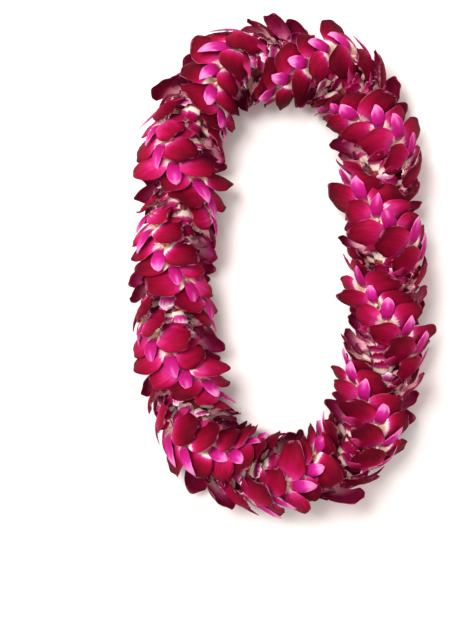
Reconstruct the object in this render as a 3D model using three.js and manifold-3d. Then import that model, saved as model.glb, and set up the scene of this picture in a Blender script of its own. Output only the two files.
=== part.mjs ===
// A closed fresh flower lei that lies flat: dendrobium orchid blooms strung side on, all the way round,
// on one knotted cotton thread. Millimetres, +Z up, the table at z = 0, the origin under the ring's middle.
//
// The blooms sit on the thread in whorls of three. Each whorl is one body: three thin orchid blooms, each a
// sheet of two broad petals and three narrower sepals, whose throats run down into a short pierced bead of
// packed bloom bases. Every bloom leans the same way round the ring, so that its forward edge lies over the
// base of the next bloom like a roof tile. All sheets share one profile, moved on along the thread from
// bloom to bloom, so neighbours nest and never cross.
import * as THREE from "three";
import { mergeVertices } from "three/addons/utils/BufferGeometryUtils.js";
import Module from "manifold-3d";

const wasm = await Module();
wasm.setup();

// The loop of thread, seen from above: a rounded oval, drawn in a little at its waist beyond the middle
const LOOP_HALF_WIDTH = 102;
const LOOP_HALF_LENGTH = 195;
const LOOP_SQUARENESS = 2.8;
const WAIST_DEPTH = 0.06;
const WAIST_Y = 55;
const WAIST_SPAN = 32;
const LOOP_STEPS = 1440;
const TANGENT_STEP = 2;

// The thread along the loop, at its height over the table
const THREAD_HEIGHT = 33;
const THREAD_RADIUS = 0.8;
const THREAD_SIDES = 5;

// The knot that closes the thread, in a short gap between the first and the last whorl
const KNOT_RADIUS = 2.2;
const KNOT_GAP = 6;
const TAIL_LENGTH = 8;
const TAIL_RADIUS = 0.7;
const TAIL_ROLLS = [0.5, -0.7];

// The whorls and the bead of packed bloom bases inside each
const WHORLS = 45;
const BLOOMS_PER_WHORL = 3;
const FIRST_BLOOM_SHARE = 1 / 6;
const BLOOM_STEP_SHARE = 1 / 3;
const ROLL_TURNS = 62;
const ROLL_STEP = (2 * Math.PI * ROLL_TURNS) / (WHORLS * BLOOMS_PER_WHORL);
const FIRST_ROLL = THREE.MathUtils.degToRad(20);
const BEAD_RADIUS = 13;
const BEAD_SIDES = 6;
const BEAD_GAP = 0.4;
const HOLE_RADIUS = 1.7;
const HOLE_SIDES = 4;

// How far a bloom's sheet stands off the thread: a soft step from the throat out to the rim
const SHEET_MIDDLE_RADIUS = 27;
const SHEET_STEP_RADIUS = 13;
const SHEET_STEP_START = -2;
const SHEET_STEP_LENGTH = 16;
const FORWARD_SHARE = 0.85;
const WRAP_RADIUS = 27;
const FLARE = 0.005;
const SHEET_THICKNESS = 1;
const FLAT_REACH = 38.2;

// One orchid bloom, laid out flat. An outline's points are shares of the tepal's length, of its half width, and
// of the lift by which it curls off the sheet.
const PETAL = {
  length: 30,
  halfWidth: 13,
  outline: [[0.45, -1, 0.2], [0.96, -0.48, 1], [0.96, 0.48, 0.1], [0.45, 1, 0]],
  middle: [0.55, 0, 0.2],
};
const PETAL_SPREAD = THREE.MathUtils.degToRad(67);
const PETAL_LIFT = 3;
const UPPER_SEPAL = { length: 29, halfWidth: 6.6, outline: [[0.48, -1, 0.2], [1, 0, 1], [0.48, 1, 0.2]] };
const UPPER_SEPAL_LIFT = 3;
const LOWER_SEPAL = { length: 25, halfWidth: 6.5, outline: [[0.5, -1, 0], [1, 0, 0]] };
const LOWER_SEPAL_SPREAD = THREE.MathUtils.degToRad(114);
const NOTCH_RADIUS = 4.6;
const UPPER_NOTCH = THREE.MathUtils.degToRad(30);
const SIDE_NOTCH = THREE.MathUtils.degToRad(96);
const THROAT_RADIUS = 16;
const THROAT_ROOT_RADIUS = 4.5;

// Faces narrower than this, left where two sheets cross, are merged into their neighbours
const SLIVER_WIDTH = 0.1;

// How much one bloom differs from the next
const ROLL_VARIATION = THREE.MathUtils.degToRad(8);
const ALONG_VARIATION = 1;
const SIZE_VARIATION = 0.1;
const SPREAD_VARIATION = THREE.MathUtils.degToRad(10);
const FLARE_VARIATION = 0.8;
const LIFT_VARIATION = 2;
const DRAWS = {
  along: 1,
  roll: 2,
  size: 3,
  rightSpread: 4,
  leftSpread: 5,
  rightFlare: 6,
  leftFlare: 7,
  rightLift: 8,
  leftLift: 9,
};
const DRAW_SEED = 5;
const DRAW_SCALE = 43758.5453;
const DRAW_BLOOM_STEP = 12.9898;
const DRAW_PURPOSE_STEP = 78.233;

const BLOOM_COLOUR = 0x930f38;
const THREAD_COLOUR = 0xe9e2cf;

// A repeatable draw from -1 to 1 for one bloom and one of the DRAWS
function draw(bloom, purpose) {
  const wave = DRAW_SCALE * Math.sin(DRAW_SEED + DRAW_BLOOM_STEP * bloom + DRAW_PURPOSE_STEP * purpose);
  return 2 * (wave - Math.floor(wave)) - 1;
}

// The oval by angle round its middle
function ovalPoint(angle) {
  const across = Math.abs(Math.cos(angle)) / LOOP_HALF_WIDTH;
  const up = Math.abs(Math.sin(angle)) / LOOP_HALF_LENGTH;
  const reach = (across ** LOOP_SQUARENESS + up ** LOOP_SQUARENESS) ** (-1 / LOOP_SQUARENESS);
  const y = reach * Math.sin(angle);
  const waist = 1 - WAIST_DEPTH * Math.exp(-(((y - WAIST_Y) / WAIST_SPAN) ** 2));
  return new THREE.Vector2(reach * Math.cos(angle) * waist, y);
}

// The same oval by distance along the thread, anticlockwise from the bottom of the ring
const loopPoints = [];
const loopDistances = [0];
for (let step = 0; step <= LOOP_STEPS; step++) {
  loopPoints.push(ovalPoint(-Math.PI / 2 + (2 * Math.PI * step) / LOOP_STEPS));
}
for (let step = 1; step <= LOOP_STEPS; step++) {
  loopDistances.push(loopDistances[step - 1] + loopPoints[step].distanceTo(loopPoints[step - 1]));
}
const THREAD_LENGTH = loopDistances[LOOP_STEPS];
const WHORL_LENGTH = THREAD_LENGTH / WHORLS;

function loopPoint(along) {
  const wrapped = ((along % THREAD_LENGTH) + THREAD_LENGTH) % THREAD_LENGTH;
  let low = 0;
  let high = LOOP_STEPS;
  while (high - low > 1) {
    const middle = Math.floor((low + high) / 2);
    [low, high] = loopDistances[middle] <= wrapped ? [middle, high] : [low, middle];
  }
  const share = (wrapped - loopDistances[low]) / (loopDistances[high] - loopDistances[low]);
  return loopPoints[low].clone().lerp(loopPoints[high], share);
}

// A point at a distance from the thread. Roll 0 is straight up, a quarter turn straight out of the ring.
function pointRound(along, roll, distance) {
  const centre = loopPoint(along);
  const tangent = loopPoint(along + TANGENT_STEP).sub(loopPoint(along - TANGENT_STEP)).normalize();
  const out = distance * Math.sin(roll);
  return new THREE.Vector3(
    centre.x + tangent.y * out,
    centre.y - tangent.x * out,
    THREAD_HEIGHT + distance * Math.cos(roll),
  );
}

// The same in the tube of blooms, where distances shrink underneath until FLAT_REACH lies on the table
function tubePoint(along, roll, radius, lift = 0) {
  const drop = -Math.cos(roll) * FLAT_REACH;
  return pointRound(along, roll, radius * (drop > THREAD_HEIGHT ? THREAD_HEIGHT / drop : 1) + lift);
}

// A closed solid from points and triangles whose corners are shared
function solidFrom(points, triangles) {
  return new wasm.Manifold(
    new wasm.Mesh({
      numProp: 3,
      vertProperties: new Float32Array(points.flatMap((p) => [p.x, p.y, p.z])),
      triVerts: new Uint32Array(triangles.flat()),
    }),
  );
}

// A tube through rings of points. It closes on itself, or has flat ends.
function tubeThrough(rings, closed) {
  const sides = rings[0].length;
  const triangles = [];
  const spans = closed ? rings.length : rings.length - 1;
  for (let ring = 0; ring < spans; ring++) {
    const from = ring * sides;
    const to = ((ring + 1) % rings.length) * sides;
    for (let side = 0; side < sides; side++) {
      const next = (side + 1) % sides;
      triangles.push([from + side, from + next, to + next], [from + side, to + next, to + side]);
    }
  }
  const last = (rings.length - 1) * sides;
  for (let side = 1; !closed && side < sides - 1; side++) {
    triangles.push([0, side + 1, side], [last, last + side, last + side + 1]);
  }
  return solidFrom(rings.flat(), triangles);
}

// A ring of points round the thread, square to it
function ringAt(along, radius, sides) {
  return Array.from({ length: sides }, (_, side) => pointRound(along, (2 * Math.PI * side) / sides, radius));
}

// The bloom's place on the thread and how it differs from its neighbours
function bloomAt(whorl, place) {
  const bloom = whorl * BLOOMS_PER_WHORL + place;
  const share = FIRST_BLOOM_SHARE + BLOOM_STEP_SHARE * place;
  return {
    along: (whorl + share) * WHORL_LENGTH + ALONG_VARIATION * draw(bloom, DRAWS.along),
    roll: FIRST_ROLL + ROLL_STEP * bloom + ROLL_VARIATION * draw(bloom, DRAWS.roll),
    size: 1 + SIZE_VARIATION * draw(bloom, DRAWS.size),
    rightSpread: PETAL_SPREAD + SPREAD_VARIATION * draw(bloom, DRAWS.rightSpread),
    leftSpread: PETAL_SPREAD + SPREAD_VARIATION * draw(bloom, DRAWS.leftSpread),
    rightFlare: FLARE * (1 + FLARE_VARIATION * draw(bloom, DRAWS.rightFlare)),
    leftFlare: FLARE * (1 + FLARE_VARIATION * draw(bloom, DRAWS.leftFlare)),
    rightLift: PETAL_LIFT + LIFT_VARIATION * draw(bloom, DRAWS.rightLift),
    leftLift: PETAL_LIFT + LIFT_VARIATION * draw(bloom, DRAWS.leftLift),
  };
}

// A point at a height over a bloom's sheet: forward along the thread and sideways round it, from the bloom's
// throat. It curls off the sheet by its lift, the whole of it on top of the ring and half of it at the sides.
function sheetPoint(bloom, [forward, sideways, lift], height) {
  const along = forward * FORWARD_SHARE;
  const roll = bloom.roll + sideways / WRAP_RADIUS;
  const step = Math.tanh((along - SHEET_STEP_START) / SHEET_STEP_LENGTH);
  const flare = (sideways < 0 ? bloom.rightFlare : bloom.leftFlare) * sideways ** 2;
  const radius = SHEET_MIDDLE_RADIUS + SHEET_STEP_RADIUS * step + flare;
  return tubePoint(bloom.along + along, roll, radius, (lift * (1 + Math.cos(roll))) / 2 + height);
}

// Points of one tepal, given in shares, laid out flat round the throat. The third number of each is how far it
// stands off the sheet.
function tepalPoints(tepal, shares, direction, size, lift) {
  return shares.map(([share, side, raised]) => {
    const length = tepal.length * size * share;
    const width = tepal.halfWidth * size * side;
    return [
      length * Math.cos(direction) - width * Math.sin(direction),
      length * Math.sin(direction) + width * Math.cos(direction),
      lift * raised,
    ];
  });
}

function mirrored(shares) {
  return shares.map(([share, side, raised]) => [share, -side, raised]).reverse();
}

// A tepal split into triangles by a fan round its middle point, or across from edge to edge without one
function tepalFaces(edge, middle) {
  if (middle !== undefined) {
    return edge.map((point, i) => [middle, point, edge[(i + 1) % edge.length]]);
  }
  const faces = [];
  let low = 0;
  let high = edge.length - 1;
  while (high - low > 1) {
    faces.push([edge[low], edge[low + 1], edge[high]]);
    low += 1;
    if (high - low > 1) {
      faces.push([edge[low], edge[high - 1], edge[high]]);
      high -= 1;
    }
  }
  return faces;
}

// The point where the stretch from p to q crosses the one from r to s, if it does
function crossing(p, q, r, s) {
  const turn = (q[0] - p[0]) * (s[1] - r[1]) - (q[1] - p[1]) * (s[0] - r[0]);
  const share = ((r[0] - p[0]) * (s[1] - r[1]) - (r[1] - p[1]) * (s[0] - r[0])) / turn;
  const other = ((r[0] - p[0]) * (q[1] - p[1]) - (r[1] - p[1]) * (q[0] - p[0])) / turn;
  const crosses = share > 0 && share < 1 && other > 0 && other < 1;
  return crosses ? p.map((value, i) => value + share * (q[i] - value)) : undefined;
}

// Cuts two neighbouring outlines back to their crossing furthest from the throat, and returns that point.
// Outlines that don't cross stay whole, and meet in the notch between them.
function joinOutlines(before, after, notch) {
  const first = [...before, notch];
  const second = [notch, ...after];
  let found;
  for (let i = 0; i < first.length - 1; i++) {
    for (let j = 0; j < second.length - 1; j++) {
      const sharesNotch = i === first.length - 2 && j === 0;
      const point = sharesNotch ? undefined : crossing(first[i], first[i + 1], second[j], second[j + 1]);
      if (point && (!found || Math.hypot(point[0], point[1]) > Math.hypot(found.point[0], found.point[1]))) {
        found = { point, i, j };
      }
    }
  }
  if (found) {
    before.splice(found.i + 1);
    after.splice(0, found.j);
  }
  return found?.point;
}

// The thin sheet of one bloom: five tepals round a throat that tapers down into the bead. Neighbouring tepals
// share one edge from their notch out to where their outlines cross.
function bloomSheet(bloom) {
  const lobes = [
    { tepal: UPPER_SEPAL, direction: 0, notch: -UPPER_NOTCH, lift: UPPER_SEPAL_LIFT },
    { tepal: PETAL, direction: bloom.leftSpread, notch: UPPER_NOTCH, lift: bloom.leftLift },
    { tepal: LOWER_SEPAL, direction: LOWER_SEPAL_SPREAD, notch: SIDE_NOTCH },
    { tepal: LOWER_SEPAL, direction: -LOWER_SEPAL_SPREAD, notch: Math.PI, mirror: true },
    { tepal: PETAL, direction: -bloom.rightSpread, notch: -SIDE_NOTCH, mirror: true, lift: bloom.rightLift },
  ];
  const count = lobes.length;
  const notches = lobes.map(({ notch }) => [NOTCH_RADIUS * Math.cos(notch), NOTCH_RADIUS * Math.sin(notch), 0]);
  const outlines = lobes.map(({ tepal, direction, mirror, lift = 0 }) =>
    tepalPoints(tepal, mirror ? mirrored(tepal.outline) : tepal.outline, direction, bloom.size, lift),
  );
  const joins = outlines.map((after, i) => joinOutlines(outlines[(i + count - 1) % count], after, notches[i]));

  const flat = [];
  const add = (point) => flat.push(point) - 1;
  const notchAt = notches.map(add);
  const joinAt = joins.map((join, i) => (join ? add(join) : notchAt[i]));
  const outlineAt = outlines.map((points) => points.map(add));
  const rim = lobes.flatMap((_, i) => [joinAt[i], ...outlineAt[i]]);
  const faces = [];
  const throat = flat.length + lobes.filter(({ tepal }) => tepal.middle).length;
  lobes.forEach(({ tepal, direction, lift = 0 }, i) => {
    const next = (i + 1) % count;
    const edge = [...new Set([notchAt[i], joinAt[i], ...outlineAt[i], joinAt[next], notchAt[next]])];
    const middle = tepal.middle && add(...tepalPoints(tepal, [tepal.middle], direction, bloom.size, lift));
    faces.push(...tepalFaces(edge, middle), [throat, notchAt[i], notchAt[next]]);
  });
  const half = SHEET_THICKNESS / 2;
  const points = [
    ...flat.map((point) => sheetPoint(bloom, point, half)),
    tubePoint(bloom.along, bloom.roll, THROAT_RADIUS),
    ...flat.map((point) => sheetPoint(bloom, point, -half)),
    tubePoint(bloom.along, bloom.roll, THROAT_ROOT_RADIUS),
  ];
  const under = throat + 1;
  const triangles = faces.flatMap(([a, b, c]) => [[a, c, b], [under + a, under + b, under + c]]);
  rim.forEach((a, i) => {
    const b = rim[(i + 1) % rim.length];
    triangles.push([a, b, under + b], [a, under + b, under + a]);
  });
  return solidFrom(points, triangles);
}

// The pierced bead of packed bloom bases at the heart of one whorl
function bead(whorl) {
  const start = whorl * WHORL_LENGTH + (whorl === 0 ? KNOT_GAP : BEAD_GAP) / 2;
  const end = (whorl + 1) * WHORL_LENGTH - (whorl === WHORLS - 1 ? KNOT_GAP : BEAD_GAP) / 2;
  const body = tubeThrough([ringAt(start, BEAD_RADIUS, BEAD_SIDES), ringAt(end, BEAD_RADIUS, BEAD_SIDES)]);
  const first = whorl * WHORL_LENGTH;
  const hole = tubeThrough([
    ringAt(first, HOLE_RADIUS, HOLE_SIDES),
    ringAt(first + WHORL_LENGTH, HOLE_RADIUS, HOLE_SIDES),
  ]);
  return { body, hole };
}

// A closed three.js geometry as a solid
function geometrySolid(geometry) {
  const bare = geometry.clone();
  bare.deleteAttribute("normal");
  bare.deleteAttribute("uv");
  const merged = mergeVertices(bare);
  return new wasm.Manifold(
    new wasm.Mesh({
      numProp: 3,
      vertProperties: new Float32Array(merged.attributes.position.array),
      triVerts: new Uint32Array(merged.index.array),
    }),
  );
}

// One whorl, cut flat where it rests on the table
function whorlSolid(whorl) {
  const { body, hole } = bead(whorl);
  let solid = body;
  for (let place = 0; place < BLOOMS_PER_WHORL; place++) {
    solid = solid.add(bloomSheet(bloomAt(whorl, place)));
  }
  const cut = solid.subtract(hole).trimByPlane([0, 0, 1], 0);
  const clean = cut.asOriginal().simplify(SLIVER_WIDTH);
  return clean.decompose().sort((a, b) => b.volume() - a.volume())[0];
}

// The thread's loop with its knot and the knot's two short tails
function threadSolid() {
  const rings = Array.from({ length: WHORLS }, (_, whorl) =>
    ringAt(whorl * WHORL_LENGTH, THREAD_RADIUS, THREAD_SIDES),
  );
  const centre = pointRound(0, 0, 0);
  const knot = new THREE.IcosahedronGeometry(KNOT_RADIUS, 0).translate(centre.x, centre.y, centre.z);
  let solid = tubeThrough(rings, true).add(geometrySolid(knot));
  for (const roll of TAIL_ROLLS) {
    const tail = new THREE.CylinderGeometry(TAIL_RADIUS, TAIL_RADIUS, TAIL_LENGTH, THREAD_SIDES);
    const direction = pointRound(0, roll, 1).sub(centre);
    const turn = new THREE.Quaternion().setFromUnitVectors(new THREE.Vector3(0, 1, 0), direction);
    tail.translate(0, TAIL_LENGTH / 2, 0).applyQuaternion(turn).translate(centre.x, centre.y, centre.z);
    solid = solid.add(geometrySolid(tail));
  }
  return solid;
}

function meshOf(name, solid, material) {
  const mesh = solid.getMesh();
  const geometry = new THREE.BufferGeometry();
  geometry.setAttribute("position", new THREE.BufferAttribute(mesh.vertProperties, 3));
  geometry.setIndex(new THREE.BufferAttribute(mesh.triVerts, 1));
  geometry.computeVertexNormals();
  const result = new THREE.Mesh(geometry, material);
  result.name = name;
  return result;
}

const petals = new THREE.MeshStandardMaterial({ color: BLOOM_COLOUR, roughness: 0.6, metalness: 0 });
const cotton = new THREE.MeshStandardMaterial({ color: THREAD_COLOUR, roughness: 0.9, metalness: 0 });

const lei = new THREE.Group();
lei.add(meshOf("thread", threadSolid(), cotton));
for (let whorl = 0; whorl < WHORLS; whorl++) {
  const name = `bloom_whorl_${String(whorl + 1).padStart(2, "0")}`;
  lei.add(meshOf(name, whorlSolid(whorl), petals));
}

export default lei;
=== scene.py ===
"""A closed fresh flower lei that lies flat: dendrobium orchid blooms strung on a knotted cotton thread.

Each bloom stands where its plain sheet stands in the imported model, on the same surface round the thread.
Lengths are in metres. A roll is an angle round the thread: 0 is straight up, a quarter turn is straight out
of the ring. A bloom's own directions are forward along the thread, sideways round it, and outward.
"""
from __future__ import annotations

import logging
import math
import random
from bisect import bisect_right
from collections.abc import Callable, Sequence
from dataclasses import dataclass, field, replace
from enum import Enum

import bmesh
import bpy
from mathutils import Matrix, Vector


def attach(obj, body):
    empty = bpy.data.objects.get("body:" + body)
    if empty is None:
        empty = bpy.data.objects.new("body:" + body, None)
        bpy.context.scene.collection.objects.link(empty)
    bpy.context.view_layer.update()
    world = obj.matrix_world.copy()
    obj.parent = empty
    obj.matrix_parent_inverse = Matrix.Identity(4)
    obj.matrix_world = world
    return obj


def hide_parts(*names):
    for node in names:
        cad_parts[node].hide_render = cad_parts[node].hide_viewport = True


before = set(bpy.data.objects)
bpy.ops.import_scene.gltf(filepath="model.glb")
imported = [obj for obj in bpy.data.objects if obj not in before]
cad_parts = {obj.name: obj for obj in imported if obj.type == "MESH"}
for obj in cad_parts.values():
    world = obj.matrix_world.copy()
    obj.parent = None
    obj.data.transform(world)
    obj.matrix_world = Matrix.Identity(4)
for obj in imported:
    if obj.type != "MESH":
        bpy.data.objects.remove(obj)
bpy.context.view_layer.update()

log = logging.getLogger("lei")

MM = 0.001
BODY = "root"

# Points nearer than the first are one point, and a turn smaller than the second counts as straight.
MERGE_DISTANCE = 1e-6
LEAST_TURN = 1e-6

# A blade's tone and a pattern's number both run from 0 to 1. A tone well above 1 marks a faded blade.
EVEN_TONE = 0.5
NOISE_MIDDLE = 0.5

Colour = tuple[float, float, float]
Run = tuple[float, float]


def arc(distance: float, curvature: float) -> tuple[float, float]:
    """Bend a straight stretch into an arc without stretching it.

    Args:
        distance: how far along the stretch.
        curvature: one over the arc's radius, positive where it rises.

    Returns:
        How far on and how far up the end of the stretch lies.
    """
    turn = distance * curvature
    if abs(turn) < LEAST_TURN:
        return distance, 0.0
    return math.sin(turn) / curvature, (1 - math.cos(turn)) / curvature


def soft_step(low: float, high: float, value: float) -> float:
    """Rise smoothly from 0 at low to 1 at high."""
    share = min(max((value - low) / (high - low), 0.0), 1.0)
    return share * share * (3 - 2 * share)


class Tissue(Enum):
    """The kinds of flower tissue, in the order of a whorl's material slots."""

    PETAL = 0
    SEPAL = 1
    OUTER_SEPAL = 2
    LIP = 3
    COLUMN = 4
    CORE = 5


class Fibre(Enum):
    """What the thread is made of, in the order of its own material slots."""

    COTTON = 0


def faces_of(verts: Sequence[bmesh.types.BMVert]) -> list[bmesh.types.BMFace]:
    """Every face that touches one of the points, once each and in a fixed order."""
    return list(dict.fromkeys(face for vert in verts for face in vert.link_faces))


@dataclass
class LeiPath:
    """The closed line of the thread, by distance anticlockwise from the near end of the ring."""

    half_width: float = 102 * MM
    half_length: float = 195 * MM
    squareness: float = 2.8
    waist_depth: float = 0.06
    waist_y: float = 55 * MM
    waist_span: float = 32 * MM
    steps: int = 1440
    tangent_step: float = 2 * MM
    height: float = 33 * MM
    flat_reach: float = 38.2 * MM
    table_softness: float = 4 * MM
    table_gap: float = 0.15 * MM
    points: list[Vector] = field(default_factory=list, init=False, repr=False)
    distances: list[float] = field(default_factory=list, init=False, repr=False)

    def __post_init__(self) -> None:
        """Walk round the oval once and note how far along it each point lies."""
        for step in range(self.steps + 1):
            self.points.append(self.oval_point(-math.pi / 2 + math.tau * step / self.steps))
        self.distances.append(0.0)
        for before, after in zip(self.points, self.points[1:]):
            self.distances.append(self.distances[-1] + (after - before).length)

    def oval_point(self, angle: float) -> Vector:
        """The oval by angle round its middle.

        Args:
            angle: the angle from +X, anticlockwise.

        Returns:
            The point in the plane of the ring.
        """
        across = abs(math.cos(angle)) / self.half_width
        up = abs(math.sin(angle)) / self.half_length
        reach = (across**self.squareness + up**self.squareness) ** (-1 / self.squareness)
        y = reach * math.sin(angle)
        waist = 1 - self.waist_depth * math.exp(-(((y - self.waist_y) / self.waist_span) ** 2))
        return Vector((reach * math.cos(angle) * waist, y))

    @property
    def length(self) -> float:
        """The whole way round the thread."""
        return self.distances[-1]

    def loop_point(self, along: float) -> Vector:
        """The thread's line in the plane of the ring.

        Args:
            along: how far along the thread, in either direction and past the start too.

        Returns:
            The point.
        """
        wrapped = along % self.length
        low = min(bisect_right(self.distances, wrapped) - 1, self.steps - 1)
        share = (wrapped - self.distances[low]) / (self.distances[low + 1] - self.distances[low])
        return self.points[low].lerp(self.points[low + 1], share)

    def round_point(self, along: float, roll: float, distance: float) -> Vector:
        """A point at a distance from the thread.

        Args:
            along: how far along the thread.
            roll: the angle round it.
            distance: how far off its middle line.

        Returns:
            The point in the row frame.
        """
        centre = self.loop_point(along)
        ahead = self.loop_point(along + self.tangent_step) - self.loop_point(along - self.tangent_step)
        ahead.normalize()
        out = distance * math.sin(roll)
        up = self.height + distance * math.cos(roll)
        return Vector((centre.x + ahead.y * out, centre.y - ahead.x * out, up))

    def tube_point(self, along: float, roll: float, radius: float, lift: float = 0.0) -> Vector:
        """A point of the tube of blooms, which is pressed flat where it lies on the table.

        Args:
            along: how far along the thread.
            roll: the angle round it.
            radius: the distance from the thread before it is pressed.
            lift: a further distance outward.

        Returns:
            The point in the row frame, never below the table.
        """
        drop = -math.cos(roll) * self.flat_reach
        pressed = radius * (self.height / drop if drop > self.height else 1.0)
        return self.settle(self.round_point(along, roll, pressed + lift))

    def settle(self, point: Vector) -> Vector:
        """Ease a point that would sink into the table up onto it.

        Args:
            point: the point, which is moved.

        Returns:
            The same point.
        """
        if point.z < self.table_softness:
            depth = (point.z - self.table_softness) / self.table_softness
            point.z = self.table_gap + (self.table_softness - self.table_gap) * math.exp(depth)
        return point


@dataclass(frozen=True)
class Draws:
    """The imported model's own repeatable draws, so that the blooms here stand where its sheets stand."""

    seed: float = 5
    scale: float = 43758.5453
    bloom_step: float = 12.9898
    purpose_step: float = 78.233

    def draw(self, bloom: int, purpose: int) -> float:
        """A number from -1 to 1 for one bloom and one purpose."""
        wave = self.scale * math.sin(self.seed + self.bloom_step * bloom + self.purpose_step * purpose)
        return 2 * (wave - math.floor(wave)) - 1


@dataclass(frozen=True)
class InnerStand:
    """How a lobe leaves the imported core.

    The turn round the thread and the start along it are counted from the bloom's own place. The rise is the
    angle by which the lobe stands off the thread.
    """

    turn: float
    start: float
    rise: float


@dataclass(frozen=True)
class BloomSeat:
    """Where one bloom sits on the thread, and the surface that its tepals lie along.

    A flare says how far that surface opens at the sides: so many millimetres one millimetre off the middle,
    and four times as many at two.
    """

    path: LeiPath
    number: int
    along: float
    roll: float
    size: float
    right_spread: float
    left_spread: float
    right_flare: float
    left_flare: float
    right_lift: float
    left_lift: float
    middle_radius: float = 27 * MM
    step_radius: float = 13 * MM
    step_start: float = -2 * MM
    step_length: float = 16 * MM
    forward_share: float = 0.85
    wrap_radius: float = 27 * MM
    inner_radius: float = 10.5 * MM

    def sheet_point(self, forward: float, sideways: float, lift: float, curl: float = 0.0) -> Vector:
        """A point on or off the bloom's sheet.

        Args:
            forward: how far ahead of the throat, along the thread.
            sideways: how far round the thread.
            lift: how far outward from the sheet.
            curl: how far it curls off the sheet on top of the ring, and half as far at the sides.

        Returns:
            The point in the row frame.
        """
        along = forward * self.forward_share
        roll = self.roll + sideways / self.wrap_radius
        step = math.tanh((along - self.step_start) / self.step_length)
        flare = (self.right_flare if sideways < 0 else self.left_flare) * sideways**2 / MM
        radius = self.middle_radius + self.step_radius * step + flare
        off = lift + curl * (1 + math.cos(roll)) / 2
        return self.path.tube_point(self.along + along, roll, radius, off)

    def inner_point(self, stand: InnerStand, reach: float, side: float, lift: float) -> Vector:
        """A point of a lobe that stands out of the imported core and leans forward.

        Args:
            stand: where and how steeply it leaves the core.
            reach: how far out along the lobe.
            side: how far off its midrib.
            lift: how far outward from its own surface.

        Returns:
            The point in the row frame.
        """
        along = stand.start + reach * math.cos(stand.rise) - lift * math.sin(stand.rise)
        radius = self.inner_radius + reach * math.sin(stand.rise) + lift * math.cos(stand.rise)
        roll = self.roll + stand.turn + side / max(radius, self.inner_radius)
        return self.path.tube_point(self.along + along, roll, radius)

    def axes(self) -> tuple[Vector, Vector, Vector, Vector]:
        """The throat's own straight axes.

        Returns:
            The throat, and unit vectors forward, sideways and outward.
        """
        throat = self.sheet_point(0, 0, 0)
        forward = (self.sheet_point(MM, 0, 0) - self.sheet_point(-MM, 0, 0)).normalized()
        sideways = (self.sheet_point(0, MM, 0) - self.sheet_point(0, -MM, 0)).normalized()
        outward = sideways.cross(forward).normalized()
        return throat, forward, sideways, outward


@dataclass(frozen=True)
class LeiLayout:
    """How the blooms follow each other along and round the thread."""

    path: LeiPath
    draws: Draws = Draws()
    purposes: range = range(1, 10)
    whorls: int = 45
    blooms_per_whorl: int = 3
    first_share: float = 1 / 6
    step_share: float = 1 / 3
    roll_turns: int = 62
    first_roll: float = math.radians(20)
    petal_spread: float = math.radians(67)
    roll_variation: float = math.radians(8)
    along_variation: float = 1 * MM
    size_variation: float = 0.1
    spread_variation: float = math.radians(10)
    flare: float = 0.005
    flare_variation: float = 0.8
    lift: float = 3 * MM
    lift_variation: float = 2 * MM

    @property
    def whorl_length(self) -> float:
        """The stretch of thread that one whorl takes."""
        return self.path.length / self.whorls

    def seat(self, whorl: int, place: int) -> BloomSeat:
        """The seat of one bloom.

        Args:
            whorl: the whorl, counted from 0.
            place: the bloom's place in its whorl, counted from 0.

        Returns:
            The seat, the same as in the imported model.
        """
        number = whorl * self.blooms_per_whorl + place
        roll_step = math.tau * self.roll_turns / (self.whorls * self.blooms_per_whorl)
        share = self.first_share + self.step_share * place
        along, roll, size, right, left, right_flare, left_flare, right_lift, left_lift = (
            self.draws.draw(number, purpose) for purpose in self.purposes
        )
        return BloomSeat(
            path=self.path,
            number=number,
            along=(whorl + share) * self.whorl_length + self.along_variation * along,
            roll=self.first_roll + roll_step * number + self.roll_variation * roll,
            size=1 + self.size_variation * size,
            right_spread=self.petal_spread + self.spread_variation * right,
            left_spread=self.petal_spread + self.spread_variation * left,
            right_flare=self.flare * (1 + self.flare_variation * right_flare),
            left_flare=self.flare * (1 + self.flare_variation * left_flare),
            right_lift=self.lift + self.lift_variation * right_lift,
            left_lift=self.lift + self.lift_variation * left_lift,
        )


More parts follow.
